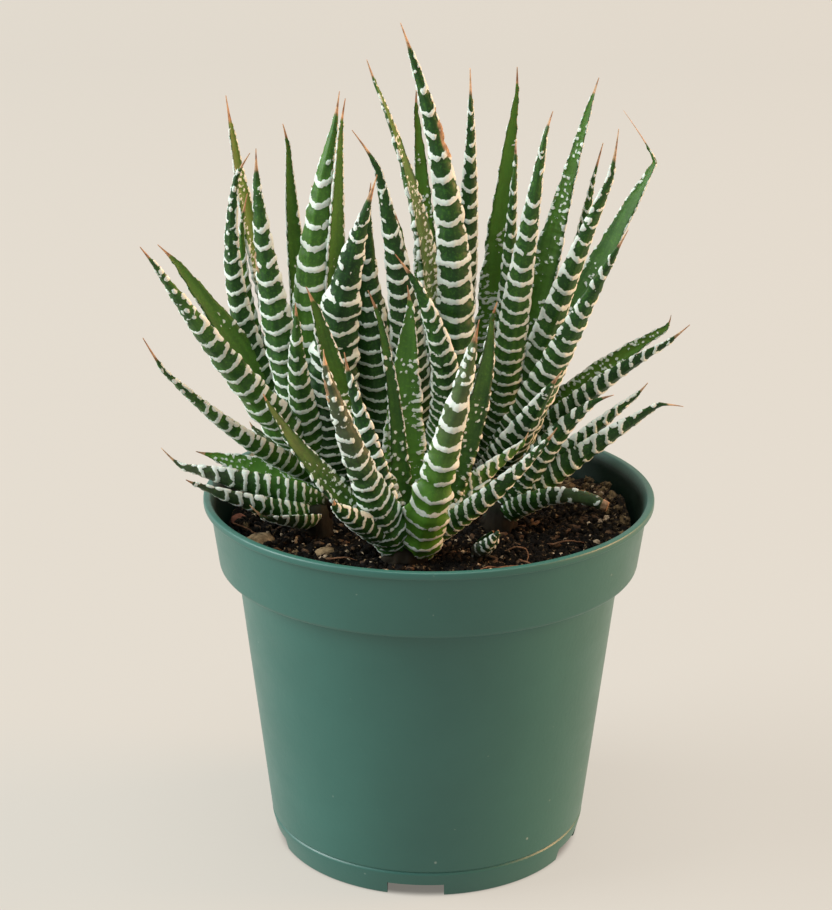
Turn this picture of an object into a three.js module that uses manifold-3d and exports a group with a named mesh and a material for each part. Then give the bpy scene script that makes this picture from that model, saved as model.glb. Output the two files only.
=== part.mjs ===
// A clump of zebra haworthia in a green plastic nursery pot.
// Millimetres, +Z up. The origin is the centre of the pot's foot, on the ground.
// +X is to the right and +Y away from whoever faces the pot's front.

import * as THREE from 'three';
import { mergeVertices } from 'three/addons/utils/BufferGeometryUtils.js';
import Module from 'manifold-3d';

const wasm = await Module();
wasm.setup();

// Pot
const POT_HEIGHT = 89;
const LIP_RADIUS = 54;
const LIP_THICKNESS = 1.8;
const LIP_OVERHANG = 1.5;
const WALL = 1.4;
const BAND_FOOT_Z = 71.8;
const BAND_FOOT_RADIUS = 50.4;
const BODY_TOP_RADIUS = 46.3;
const GROOVE_Z = 6.8;
const GROOVE_RADIUS = 38.9;
const GROOVE_DEPTH = 0.4;
const FOOT_RADIUS = 37.3;
const FLOOR_UNDERSIDE = 1.5;
const FLOOR_TOP = 3;
const POT_SIDES = 45;

// Drainage notches, evenly spaced round the foot
const NOTCH_COUNT = 5;
const NOTCH_FIRST_DEG = -94;
const NOTCH_WIDTH = 13.5;
const NOTCH_HEIGHT = 3.3;
const NOTCH_INNER_RADIUS = 29;

// Soil
const SOIL_TOP = 80;
const SOIL_LUMP = 1.1;
const SOIL_RINGS = 5;
const PEBBLE_SEAT = 0.15;

// Clearance between pieces that touch
const GAP = 0.3;

// Leaves
const LEAF_RING_SPACING = 7;
const LEAF_MIN_RINGS = 5;
const LEAF_THICKNESS_RATIO = 0.37;
const LEAF_TAPER_POWER = 0.9;
const LEAF_BELLY = 0.6;
const LEAF_FACE_LIFT = 0.6;
const LEAF_TIP_WIDTH = 1.2;
const LEAF_TIP_THICKNESS = 0.6;
const BAND_RIDGE = 0.4;
const FOOT_OFFSET_RATIO = 0.45;

// A leaf's section as [part of its width, part of its thickness]: flat inside, keeled outside
const LEAF_SECTION = [
  [0.5, 0],
  [0.3, 0.72],
  [0, 1],
  [-0.3, 0.72],
  [-0.5, 0],
];

// A head's stem and crown
const STEM_RADIUS_RATIO = 0.5;
const STEM_DEPTH = 12;
const CROWN_SHOULDER = 0.3;
const CROWN_NECK = 1.6;
const CROWN_NECK_RADIUS_RATIO = 0.75;
const CROWN_TOP = 3.4;
const STEM_SIDES = 12;
const GOLDEN_SECTION = 0.618;
const SPIRAL_SHORTENING = 0.3;
const SPIRAL_RISE = 2;

// Heads of the clump. crown is where a head's stem stands, and coreRadius is its crown's radius.
// A leaf is [tip x, tip y, tip z, bulge x, bulge y, bulge z, width, rise, facing]: where its tip is,
// how far its middle stands off the straight line from foot to tip, how wide it is near its foot,
// how far its foot sits above the lowest place, and the bearing that its inner face looks to.
// spirals gives the leaves that no landmark fixes. They turn a golden section of the arc each, and
// go from the longest inwards: how many, the arc and its middle bearing in degrees, then the
// first one's reach from the crown, its tip height and its width.
const ROSETTES = [
  {
    name: 'rosette_front',
    crown: [-5, -23],
    coreRadius: 7,
    color: 0x3f6b45,
    leaves: [
      [-4, -15, 143, -1, 2, 0, 11, 3, -90],
      [11, -32, 140, 0, -3, 0, 12, 0, 80],
      [14, -20, 141, 4, 0, 0, 9, 2, -60],
      [-24, -38, 135, -1, -3, 0, 11, 0, 115],
      [-27, -21, 145, -1, 1, 0, 11, 1, -80],
      [-20, -26, 131, 1, 0, 0, 9, 1, 60],
      [-13, -17, 143, 2, 1, 0, 7, 3, -80],
      [-22, -42, 101, -2, 0, 1, 8, 0, 110],
      [30, -23, 113, 0, -2, -2, 8, 0, 100],
      [-38, -24, 121, -2, -2, -1, 9, 1, -40],
      [24, -13, 107, 1, 1, 1, 8, 3, 100],
      [16, -17, 99, 0, 0, -1, 9, 0, 100],
    ],
  },
  {
    name: 'rosette_centre',
    crown: [-2, 8],
    coreRadius: 7,
    color: 0x2f5a3a,
    leaves: [
      [-7, 2, 200, 9, -4, 0, 12, 4, 100],
      [-15, 10, 190, 8, 1, 0, 13, 5, -10],
      [-4, 18, 182, 2, 2, 0, 10, 5, -90],
      [9, 14, 188, 3, 1, 0, 7, 5, 100],
      [-14, 0, 175, 3, -4, 0, 10, 4, 90],
      [-14, 2, 163, -4, -2, 0, 10, 3, 80],
      [-7, -8, 149, 8, -5, 0, 11, 2, 85],
    ],
    spirals: [
      { count: 4, bearing: 95, arc: 70, reach: 26, height: 156, width: 10 },
    ],
  },
  {
    name: 'rosette_left',
    crown: [-22, 10],
    coreRadius: 7,
    color: 0x35633d,
    leaves: [
      [-63, -28, 155, 0, -2, -2, 12, 5, 80],
      [-62, 0, 149, -1, 0, 2, 11, 7, -60],
      [-48, 16, 182, -3, 1, 0, 9, 6, -45],
      [-44, 8, 169, -10, 0, 0, 9, 4, 70],
      [-44, 13, 158, -7, 1, 0, 6, 4, 70],
      [-40, -4, 172, -3, -4, 0, 12, 3, 75],
      [-34, 20, 174, -2, 2, 0, 8, 6, -70],
      [-28, 26, 157, -1, 3, 0, 6, 5, 90],
      [-20, 1, 184, -6, -5, 0, 13, 4, 65],
      [-20, -2, 184, -1, -3, 0, 8, 5, -40],
      [-12, -11, 167, -5, -3, 0, 13, 2, 80],
      [-30, -14, 139, -3, -2, 0, 10, 2, 75],
      [-63, -26, 130, 0, 0, -4, 9, 4, 70],
      [-56, 5, 97, 0, 0, -2, 9, 4, -60],
    ],
    spirals: [
      { count: 3, bearing: 140, arc: 100, reach: 31, height: 142, width: 10 },
      { count: 2, bearing: 150, arc: 120, reach: 24, height: 104, width: 9 },
    ],
  },
  {
    name: 'rosette_right',
    crown: [14, 16],
    coreRadius: 7,
    color: 0x35633d,
    leaves: [
      [21, 20, 187, -2, 1, 0, 9, 5, -70],
      [20, 12, 171, 0, -1, 0, 7, 5, 100],
      [27, 2, 180, -1, -4, 0, 10, 4, 85],
      [39, 18, 185, -1, 2, 0, 11, 6, -120],
      [40, 20, 169, 3, 2, 0, 6, 4, 90],
      [45, 3, 173, -2, -3, 0, 10, 4, 100],
      [55, 10, 172, -1, 2, 0, 12, 5, -125],
      [45, -8, 155, -2, -4, -1, 12, 3, 105],
      [30, -12, 122, -2, -4, -1, 13, 2, 110],
      [61, 14, 128, -2, 0, 3, 9, 3, -100],
      [62, 9, 126, -1, -1, 4, 9, 2, 100],
    ],
    spirals: [
      { count: 3, bearing: 65, arc: 110, reach: 31, height: 146, width: 10 },
      { count: 2, bearing: 60, arc: 150, reach: 24, height: 106, width: 9 },
    ],
  },
  {
    name: 'rosette_right_low',
    crown: [17, -3],
    coreRadius: 5,
    color: 0x3a6a44,
    leaves: [
      [42, -8, 116, -1, 0, 4, 9, 2, 100],
      [52, 4, 114, 0, 0, 1, 8, 2, 100],
      [58, -2, 114, 0, 0, 1, 9, 1, 100],
      [42, -14, 90, 0, 0, 4, 8, 0, 110],
    ],
  },
  {
    name: 'rosette_left_low',
    crown: [-27, -7],
    coreRadius: 5,
    color: 0x3f6b45,
    leaves: [
      [-62, -8, 98, 0, -1, 1, 10, 3, 75],
      [-57, -16, 97, 0, 0, -1, 8, 0, 75],
      [-39, -25, 91, 0, 0, 0, 8, 0, 75],
    ],
  },
  {
    name: 'rosette_pup',
    crown: [11, -26],
    coreRadius: 1.6,
    color: 0x7d9a6a,
    leaves: [
      [16, -27, 89, 0, -1, 0, 5, 0, 90],
      [16, -26, 88, 1, 0, 0, 5, 0, 200],
      [15, -25, 88, -1, 0, 0, 5, 0, -30],
    ],
  },
];

// Loose stones: centre x and y; length, width and height; bearing of the length in degrees
const PEBBLES = [
  { name: 'pebble_left_large', at: [-40, -12], size: [8, 5.5, 4.5], turn: 35, color: 0xb9a78c },
  { name: 'pebble_left_red', at: [-46, 3], size: [4, 3.5, 3], turn: 0, color: 0x8c5a48 },
  { name: 'pebble_front_tan', at: [-24, -20], size: [5, 3.6, 3.2], turn: 10, color: 0xc2ab88 },
  { name: 'pebble_right_back', at: [36, 27], size: [4, 3.4, 3], turn: 60, color: 0x9c8a72 },
];

// Closed geometry to solid, and back
function solidOf(geometry) {
  const bare = geometry.clone();
  bare.deleteAttribute('normal');
  bare.deleteAttribute('uv');
  const merged = mergeVertices(bare, 1e-4);
  const mesh = new wasm.Mesh({
    numProp: 3,
    vertProperties: new Float32Array(merged.attributes.position.array),
    triVerts: new Uint32Array(merged.index.array),
  });
  return new wasm.Manifold(mesh);
}

function geometryOf(solid) {
  const mesh = solid.getMesh();
  const geometry = new THREE.BufferGeometry();
  geometry.setAttribute('position', new THREE.BufferAttribute(mesh.vertProperties, 3));
  geometry.setIndex(new THREE.BufferAttribute(mesh.triVerts, 1));
  return geometry;
}

function namedMesh(name, solid, color, roughness) {
  const geometry = geometryOf(solid);
  geometry.computeVertexNormals();
  const material = new THREE.MeshStandardMaterial({ color, roughness, metalness: 0 });
  const mesh = new THREE.Mesh(geometry, material);
  mesh.name = name;
  return mesh;
}

// A body of revolution about Z from [radius, z] points
function turned(points, sides) {
  const profile = points.map(([radius, z]) => new THREE.Vector2(radius, z));
  return new THREE.LatheGeometry(profile, sides).rotateX(Math.PI / 2);
}

function outerWallRadius(z) {
  const climb = (z - GROOVE_Z) / (BAND_FOOT_Z - GROOVE_Z);
  return THREE.MathUtils.lerp(GROOVE_RADIUS, BODY_TOP_RADIUS, climb);
}

// Pot: thin moulded wall that steps out to the rim band, with a lip, a raised floor and a foot ring
function potSolid() {
  const bandTopRadius = LIP_RADIUS - LIP_OVERHANG;
  const lipUnderside = POT_HEIGHT - LIP_THICKNESS;
  const profile = [
    [0, FLOOR_UNDERSIDE],
    [FOOT_RADIUS - WALL, FLOOR_UNDERSIDE],
    [FOOT_RADIUS - WALL, 0],
    [FOOT_RADIUS, 0],
    [GROOVE_RADIUS, GROOVE_Z - GROOVE_DEPTH],
    [GROOVE_RADIUS - GROOVE_DEPTH, GROOVE_Z],
    [GROOVE_RADIUS, GROOVE_Z + GROOVE_DEPTH],
    [BODY_TOP_RADIUS, BAND_FOOT_Z],
    [BAND_FOOT_RADIUS, BAND_FOOT_Z],
    [bandTopRadius, lipUnderside],
    [LIP_RADIUS, lipUnderside],
    [LIP_RADIUS, POT_HEIGHT],
    [bandTopRadius - WALL, POT_HEIGHT],
    [BAND_FOOT_RADIUS - WALL, BAND_FOOT_Z + WALL],
    [BODY_TOP_RADIUS - WALL, BAND_FOOT_Z + WALL],
    [outerWallRadius(FLOOR_TOP) - WALL, FLOOR_TOP],
    [0, FLOOR_TOP],
  ];
  let pot = solidOf(turned(profile, POT_SIDES));
  const notchReach = FOOT_RADIUS + WALL - NOTCH_INNER_RADIUS;
  for (let i = 0; i < NOTCH_COUNT; i += 1) {
    const bearing = THREE.MathUtils.degToRad(NOTCH_FIRST_DEG + (i * 360) / NOTCH_COUNT);
    const notch = new THREE.BoxGeometry(notchReach, NOTCH_WIDTH, NOTCH_HEIGHT * 2);
    notch.translate(NOTCH_INNER_RADIUS + notchReach / 2, 0, 0);
    notch.rotateZ(bearing);
    pot = pot.subtract(solidOf(notch));
  }
  return pot;
}

// Soil surface: broad lumps from a few crossed waves
function soilHeight(x, y) {
  const lumps = Math.sin(x * 0.31 + 1.3) * Math.cos(y * 0.27 - 0.6) + 0.5 * Math.sin((x - y) * 0.53);
  return SOIL_TOP + (SOIL_LUMP * lumps) / 1.5;
}

function soilSolid() {
  const bottomZ = NOTCH_HEIGHT + GAP;
  const shoulderZ = BAND_FOOT_Z + WALL + GAP;
  const bodyRadius = BODY_TOP_RADIUS - WALL - GAP;
  const surfaceRadius = BAND_FOOT_RADIUS - WALL - GAP;
  const profile = [
    [0, bottomZ],
    [outerWallRadius(bottomZ) - WALL - GAP, bottomZ],
    [bodyRadius, shoulderZ],
    [surfaceRadius, shoulderZ],
  ];
  for (let i = 0; i <= SOIL_RINGS; i += 1) {
    profile.push([surfaceRadius * (1 - i / SOIL_RINGS), SOIL_TOP]);
  }
  const geometry = turned(profile, POT_SIDES);
  const position = geometry.attributes.position;
  for (let i = 0; i < position.count; i += 1) {
    if (Math.abs(position.getZ(i) - SOIL_TOP) < 1e-6) {
      position.setZ(i, soilHeight(position.getX(i), position.getY(i)));
    }
  }
  return solidOf(geometry);
}

// Width along a leaf, from 1 at its foot to 0 at its tip
function leafTaper(t) {
  return (1 - t) ** LEAF_TAPER_POWER * (1 + LEAF_BELLY * t);
}

// The way a leaf's inner face looks, and the way across it, where its spine runs along
function leafAxes(along, facing) {
  const angle = THREE.MathUtils.degToRad(facing);
  const look = new THREE.Vector3(Math.cos(angle), Math.sin(angle), LEAF_FACE_LIFT);
  const inward = look.addScaledVector(along, -look.dot(along)).normalize();
  return { inward, across: new THREE.Vector3().crossVectors(along, inward) };
}

// Foot of a leaf beside the crown, lifted so that its lowest edge clears the soil
function leafFoot(crown, coreRadius, tip, bulge, width, rise, facing) {
  const halfway = new THREE.Vector3().subVectors(tip, crown).multiplyScalar(0.5);
  const start = halfway.clone().addScaledVector(bulge, 2).normalize();
  const { inward, across } = leafAxes(start, facing);
  const sideDrop = (Math.abs(across.z) * width) / 2;
  const keelDrop = Math.abs(inward.z) * width * LEAF_THICKNESS_RATIO;
  const outward = halfway.add(bulge).setZ(0).normalize();
  const foot = crown.clone().addScaledVector(outward, coreRadius * FOOT_OFFSET_RATIO);
  foot.z += sideDrop + keelDrop + rise;
  return foot;
}

// One leaf: flat inner face that looks to a bearing, keeled outer face with raised bands across it
function leafSolid(crown, coreRadius, tip, bulge, width, rise, facing) {
  const foot = leafFoot(crown, coreRadius, tip, bulge, width, rise, facing);
  const control = new THREE.Vector3().addVectors(foot, tip).multiplyScalar(0.5);
  control.addScaledVector(bulge, 2);
  const spine = new THREE.QuadraticBezierCurve3(foot, control, tip);
  const rings = Math.max(LEAF_MIN_RINGS, Math.round(spine.getLength() / LEAF_RING_SPACING));

  const positions = [];
  for (let ring = 0; ring <= rings; ring += 1) {
    const t = ring / rings;
    const centre = spine.getPoint(t);
    const along = spine.getTangent(t);
    const { inward, across } = leafAxes(along, facing);
    const ringWidth = Math.max(LEAF_TIP_WIDTH, width * leafTaper(t));
    const ringThickness = Math.max(LEAF_TIP_THICKNESS, ringWidth * LEAF_THICKNESS_RATIO);
    const ridge = ring % 2 === 1 && ring < rings - 1 ? BAND_RIDGE : 0;
    for (const [side, depth] of LEAF_SECTION) {
      const point = centre.clone().addScaledVector(across, side * ringWidth);
      point.addScaledVector(inward, -depth * (ringThickness + ridge));
      positions.push(point.x, point.y, point.z);
    }
  }

  const sides = LEAF_SECTION.length;
  const faces = [];
  for (let ring = 0; ring < rings; ring += 1) {
    for (let k = 0; k < sides; k += 1) {
      const a = ring * sides + k;
      const b = ring * sides + ((k + 1) % sides);
      faces.push(a, b, b + sides, a, b + sides, a + sides);
    }
  }
  const last = rings * sides;
  for (let k = 1; k < sides - 1; k += 1) {
    faces.push(0, k + 1, k);
    faces.push(last, last + k, last + k + 1);
  }
  const geometry = new THREE.BufferGeometry();
  geometry.setAttribute('position', new THREE.Float32BufferAttribute(positions, 3));
  geometry.setIndex(faces);
  return solidOf(geometry);
}

// Leaves of one spiral, spread over its arc by the golden section, each a little shorter
function spiralLeaves({ count, bearing, arc, reach, height, width }, [x, y]) {
  const rows = [];
  for (let i = 0; i < count; i += 1) {
    const turn = bearing + arc * (((i * GOLDEN_SECTION) % 1) - 0.5);
    const angle = THREE.MathUtils.degToRad(turn);
    const shorter = 1 - (SPIRAL_SHORTENING * i) / count;
    const tipX = x + reach * Math.cos(angle);
    const tipY = y + reach * Math.sin(angle);
    const tipZ = SOIL_TOP + (height - SOIL_TOP) * shorter;
    rows.push([tipX, tipY, tipZ, 0, 0, 0, width, SPIRAL_RISE, turn + 180]);
  }
  return rows;
}

// Stem and crown of a head, widening upwards out of the soil; grow is the hole's clearance round it
function stemProfile(coreRadius, grow) {
  return [
    [0, SOIL_TOP - STEM_DEPTH - grow],
    [coreRadius * STEM_RADIUS_RATIO + grow, SOIL_TOP - STEM_DEPTH - grow],
    [coreRadius + grow, SOIL_TOP],
    [coreRadius + grow, SOIL_TOP + coreRadius * CROWN_SHOULDER + grow],
    [coreRadius * CROWN_NECK_RADIUS_RATIO + grow, SOIL_TOP + coreRadius * CROWN_NECK + grow],
    [0, SOIL_TOP + coreRadius * CROWN_TOP + grow],
  ];
}

function rosetteSolid({ crown, coreRadius, leaves, spirals = [] }) {
  const [x, y] = crown;
  const crownPoint = new THREE.Vector3(x, y, SOIL_TOP + SOIL_LUMP + GAP);
  const stem = turned(stemProfile(coreRadius, 0), STEM_SIDES).translate(x, y, 0);
  let head = solidOf(stem);
  const rows = leaves.concat(spirals.flatMap((spiral) => spiralLeaves(spiral, crown)));
  for (const [tipX, tipY, tipZ, bulgeX, bulgeY, bulgeZ, width, rise, facing] of rows) {
    const tip = new THREE.Vector3(tipX, tipY, tipZ);
    const bulge = new THREE.Vector3(bulgeX, bulgeY, bulgeZ);
    head = head.add(leafSolid(crownPoint, coreRadius, tip, bulge, width, rise, facing));
  }
  return head;
}

// Plain hole that a head's stem stands in
function stemHole({ crown, coreRadius }) {
  const hole = turned(stemProfile(coreRadius, GAP), STEM_SIDES);
  return solidOf(hole.translate(crown[0], crown[1], 0));
}

function pebbleSolid({ at, size, turn }, grow) {
  const stone = new THREE.IcosahedronGeometry(0.5, 1);
  stone.scale(size[0] + grow, size[1] + grow, size[2] + grow);
  stone.rotateZ(THREE.MathUtils.degToRad(turn));
  stone.translate(at[0], at[1], soilHeight(at[0], at[1]) + size[2] * PEBBLE_SEAT);
  return solidOf(stone);
}

const group = new THREE.Group();
group.add(namedMesh('pot', potSolid(), 0x3f645a, 0.5));

let soil = soilSolid();
for (const rosette of ROSETTES) {
  soil = soil.subtract(stemHole(rosette));
  group.add(namedMesh(rosette.name, rosetteSolid(rosette), rosette.color, 0.55));
}
for (const pebble of PEBBLES) {
  soil = soil.subtract(pebbleSolid(pebble, GAP * 2));
  group.add(namedMesh(pebble.name, pebbleSolid(pebble, 0), pebble.color, 0.9));
}
group.add(namedMesh('soil', soil, 0x2e241d, 0.95));

export default group;
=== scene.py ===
import math
import random

import bmesh
import bpy
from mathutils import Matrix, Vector, noise


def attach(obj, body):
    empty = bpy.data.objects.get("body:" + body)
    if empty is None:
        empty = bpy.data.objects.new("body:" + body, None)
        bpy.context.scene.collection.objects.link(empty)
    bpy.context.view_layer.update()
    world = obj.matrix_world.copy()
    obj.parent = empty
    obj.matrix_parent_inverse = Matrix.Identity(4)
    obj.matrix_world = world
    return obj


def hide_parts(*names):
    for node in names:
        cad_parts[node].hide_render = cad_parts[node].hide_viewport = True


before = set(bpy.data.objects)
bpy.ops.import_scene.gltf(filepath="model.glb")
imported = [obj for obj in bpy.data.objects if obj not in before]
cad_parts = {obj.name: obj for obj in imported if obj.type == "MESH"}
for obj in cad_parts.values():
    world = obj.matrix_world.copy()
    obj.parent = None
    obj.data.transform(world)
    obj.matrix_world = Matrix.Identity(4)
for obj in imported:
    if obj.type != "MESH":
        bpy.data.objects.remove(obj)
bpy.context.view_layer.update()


# ---- Pot ---------------------------------------------------------------------------------------
# A nursery pot of thin satin-green polypropylene, moulded in one piece with its lip, rim band and
# foot. Five notches in the foot let water out. Sizes are in millimetres, turned to metres by MM.

MM = 0.001
POT_HEIGHT = 89
LIP_RADIUS = 54
LIP_THICKNESS = 1.8
LIP_OVERHANG = 1.5
LIP_TOP_WIDTH = 1.6
LIP_BEVEL = 2.6
POT_WALL = 1.4
BAND_FOOT_Z = 71.8
BAND_FOOT_RADIUS = 50.4
BODY_TOP_RADIUS = 46.3
GROOVE_Z = 6.8
GROOVE_RADIUS = 38.9
GROOVE_DEPTH = 0.4
FOOT_RADIUS = 37.3
FLOOR_UNDERSIDE = 1.5
FLOOR_TOP = 3
POT_STEPS = 180
NOTCH_COUNT = 5
NOTCH_FIRST_BEARING = -94
NOTCH_WIDTH = 13.5
NOTCH_HEIGHT = 3.3
NOTCH_INNER_RADIUS = 29
SHARP_EDGE = 40
INNER_MARGIN = 0.6
RIM_MARGIN = 1
PAINTED_INNER_SHADE = 0.95


def wall_radius(z):
    """The outer radius of the body, or of the rim band above it, at a height."""
    if z > BAND_FOOT_Z + 0.5:
        climb = (z - BAND_FOOT_Z) / (POT_HEIGHT - LIP_THICKNESS - BAND_FOOT_Z)
        return BAND_FOOT_RADIUS + (LIP_RADIUS - LIP_OVERHANG - BAND_FOOT_RADIUS) * climb
    climb = (z - GROOVE_Z) / (BAND_FOOT_Z - GROOVE_Z)
    return GROOVE_RADIUS + (BODY_TOP_RADIUS - GROOVE_RADIUS) * climb


def curve_point(start, middle, end, t):
    """A place on the curve that starts towards its middle point and ends coming from it."""
    return start * (1 - t) ** 2 + middle * 2 * t * (1 - t) + end * t ** 2


def curve_way(start, middle, end, t):
    """Which way the same curve runs at that place."""
    return ((middle - start) * (1 - t) + (end - middle) * t).normalized()


def rounded_outline(corners, steps=4):
    """Replaces each (radius, z, rounding) corner by a short arc-like curve of steps + 1 points."""
    points = []
    for i, (r, z, rounding) in enumerate(corners):
        corner = Vector((r, z))
        if rounding == 0:
            points.append(corner)
            continue
        before = Vector(corners[i - 1][:2]) - corner
        after = Vector(corners[(i + 1) % len(corners)][:2]) - corner
        start = corner + before.normalized() * min(rounding, before.length * 0.45)
        end = corner + after.normalized() * min(rounding, after.length * 0.45)
        points += [curve_point(start, corner, end, k / steps) for k in range(steps + 1)]
    return points


def pot_outline():
    """The pot's section, from the axis under the floor out, up and back down inside."""
    band_top = LIP_RADIUS - LIP_OVERHANG
    lip_under = POT_HEIGHT - LIP_THICKNESS
    return rounded_outline([
        (0, FLOOR_UNDERSIDE, 0),
        (FOOT_RADIUS - POT_WALL, FLOOR_UNDERSIDE, 0.3),
        (FOOT_RADIUS - POT_WALL, 0, 0.3),
        (FOOT_RADIUS, 0, 0.5),
        (GROOVE_RADIUS, GROOVE_Z - GROOVE_DEPTH, 0.4),
        (GROOVE_RADIUS - GROOVE_DEPTH, GROOVE_Z, 0.15),
        (GROOVE_RADIUS, GROOVE_Z + GROOVE_DEPTH, 0.4),
        (BODY_TOP_RADIUS, BAND_FOOT_Z, 0.6),
        (BAND_FOOT_RADIUS, BAND_FOOT_Z, 1.2),
        (band_top, lip_under, 0.4),
        (LIP_RADIUS, lip_under, 0.6),
        (LIP_RADIUS, POT_HEIGHT, 0.5),
        (LIP_RADIUS - LIP_TOP_WIDTH, POT_HEIGHT, 0.4),
        (band_top - POT_WALL, POT_HEIGHT - LIP_BEVEL, 0.6),
        (BAND_FOOT_RADIUS - POT_WALL, BAND_FOOT_Z + POT_WALL, 0.8),
        (BODY_TOP_RADIUS - POT_WALL, BAND_FOOT_Z + POT_WALL, 0.6),
        (wall_radius(FLOOR_TOP) - POT_WALL, FLOOR_TOP, 0.8),
        (0, FLOOR_TOP, 0),
    ])


def mesh_from(shape, name, *materials):
    """Turns a finished bmesh into a smooth mesh."""
    mesh = bpy.data.meshes.new(name)
    shape.to_mesh(mesh)
    shape.free()
    for material in materials:
        mesh.materials.append(material)
    mesh.shade_smooth()
    return mesh


def join_rings(shape, rings):
    """Joins rings of vertices by faces. A ring of one vertex closes a pole."""
    for low, high in zip(rings, rings[1:]):
        steps = max(len(low), len(high))
        for k in range(steps):
            n = (k + 1) % steps
            corners = [low[k % len(low)], low[n % len(low)], high[n % len(high)], high[k % len(high)]]
            shape.faces.new(list(dict.fromkeys(corners)))


def turned_mesh(name, outline, steps, *materials):
    """Spins an outline that starts and ends on the axis round Z, with one vertex at each pole."""
    shape = bmesh.new()
    rings = []
    for r, z in outline:
        turns = [math.tau * k / steps for k in range(1 if r < 1e-9 else steps)]
        rings.append([shape.verts.new((r * MM * math.cos(a), r * MM * math.sin(a), z * MM)) for a in turns])
    join_rings(shape, rings)
    bmesh.ops.recalc_face_normals(shape, faces=shape.faces)
    return mesh_from(shape, name, *materials)


def put_in_scene(name, data):
    piece = bpy.data.objects.new(name, data)
    bpy.context.scene.collection.objects.link(piece)
    return piece


def piece_from(shape, name, *materials):
    return put_in_scene(name, mesh_from(shape, name, *materials))


def apply_modifiers(piece):
    """Turns a piece with modifiers into a plain smooth mesh."""
    bpy.context.view_layer.update()
    evaluated = piece.evaluated_get(bpy.context.evaluated_depsgraph_get())
    mesh = bpy.data.meshes.new_from_object(evaluated)
    mesh.name = piece.name
    mesh.shade_smooth()
    piece.modifiers.clear()
    piece.data = mesh


class Wire:
    """What a node gives out. Adding, multiplying and so on passes it through a math node."""

    def __init__(self, socket):
        self.socket = socket
        self.tree = socket.id_data

    def __add__(self, other):
        return calc("ADD", self, other)

    def __radd__(self, other):
        return calc("ADD", other, self)

    def __sub__(self, other):
        return calc("SUBTRACT", self, other)

    def __rsub__(self, other):
        return calc("SUBTRACT", other, self)

    def __mul__(self, other):
        return calc("MULTIPLY", self, other)

    def __truediv__(self, other):
        return calc("DIVIDE", self, other)


def put(socket, value):
    if isinstance(value, Wire):
        socket.id_data.links.new(value.socket, socket)
    else:
        socket.default_value = value


def feed(node, **values):
    """Gives a node's inputs, each named with _ for a space, a wire or a plain value."""
    for name, value in values.items():
        put(node.inputs[name.replace("_", " ")], value)


def add_node(tree, kind, output, settings=None, **values):
    """Adds a node with its settings and inputs, and returns the wire of one of its outputs."""
    node = tree.nodes.new(kind)
    for name, value in (settings or {}).items():
        setattr(node, name, value)
    feed(node, **values)
    return Wire(node.outputs[output])


def calc(operation, *values, kind="ShaderNodeMath", output=0):
    """Works out a number from one or more others, or does the same with vectors."""
    node = next(value.tree for value in values if isinstance(value, Wire)).nodes.new(kind)
    node.operation = operation
    for socket, value in zip(node.inputs, values):
        put(socket, value)
    return Wire(node.outputs[output])


def ranged(value, low, high, to_low=0.0, to_high=1.0, way="SMOOTHSTEP"):
    """Carries a value from one range to another, and stops at its ends."""
    return add_node(value.tree, "ShaderNodeMapRange", "Result", {"interpolation_type": way}, Value=value,
                    From_Min=low, From_Max=high, To_Min=to_low, To_Max=to_high)


def combined(x, y, z):
    return add_node(x.tree, "ShaderNodeCombineXYZ", "Vector", X=x, Y=y, Z=z)


def cloudy(where, scale, detail, roughness=0.5, output="Fac"):
    return add_node(where.tree, "ShaderNodeTexNoise", output,
                    Vector=where, Scale=scale, Detail=detail, Roughness=roughness)


def cells(where, scale, scatter, dimensions="3D"):
    """How far each place is from the nearest of many scattered points."""
    return add_node(where.tree, "ShaderNodeTexVoronoi", "Distance", {"voronoi_dimensions": dimensions},
                    Vector=where, Scale=scale, Randomness=scatter)


def ramp(value, *steps):
    """Turns a value into a colour through (place, (r, g, b)) steps."""
    colour = add_node(value.tree, "ShaderNodeValToRGB", "Color", Fac=value)
    elements = colour.socket.node.color_ramp.elements
    while len(elements) > 1:
        elements.remove(elements[-1])
    elements[0].position, elements[0].color = steps[0][0], (*steps[0][1], 1)
    for place, tint in steps[1:]:
        elements.new(place).color = (*tint, 1)
    return colour


def mix(factor, first, second):
    return add_node(factor.tree, "ShaderNodeMix", "Result", {"data_type": "RGBA"},
                    Factor=factor, A=first, B=second)


def carried(tree, name):
    """A number that the mesh carries at each vertex, for a material."""
    return add_node(tree, "ShaderNodeAttribute", "Fac", {"attribute_name": name})


def bump(height, strength, distance):
    return add_node(height.tree, "ShaderNodeBump", "Normal",
                    Height=height, Strength=strength, Distance=distance)


def new_material(name, **look):
    """A new material with its shader, and the wire of the place on the piece in metres."""
    material = bpy.data.materials.new(name)
    material.use_nodes = True
    shader = material.node_tree.nodes["Principled BSDF"]
    feed(shader, **look)
    return material, shader, add_node(material.node_tree, "ShaderNodeTexCoord", "Object")


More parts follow.
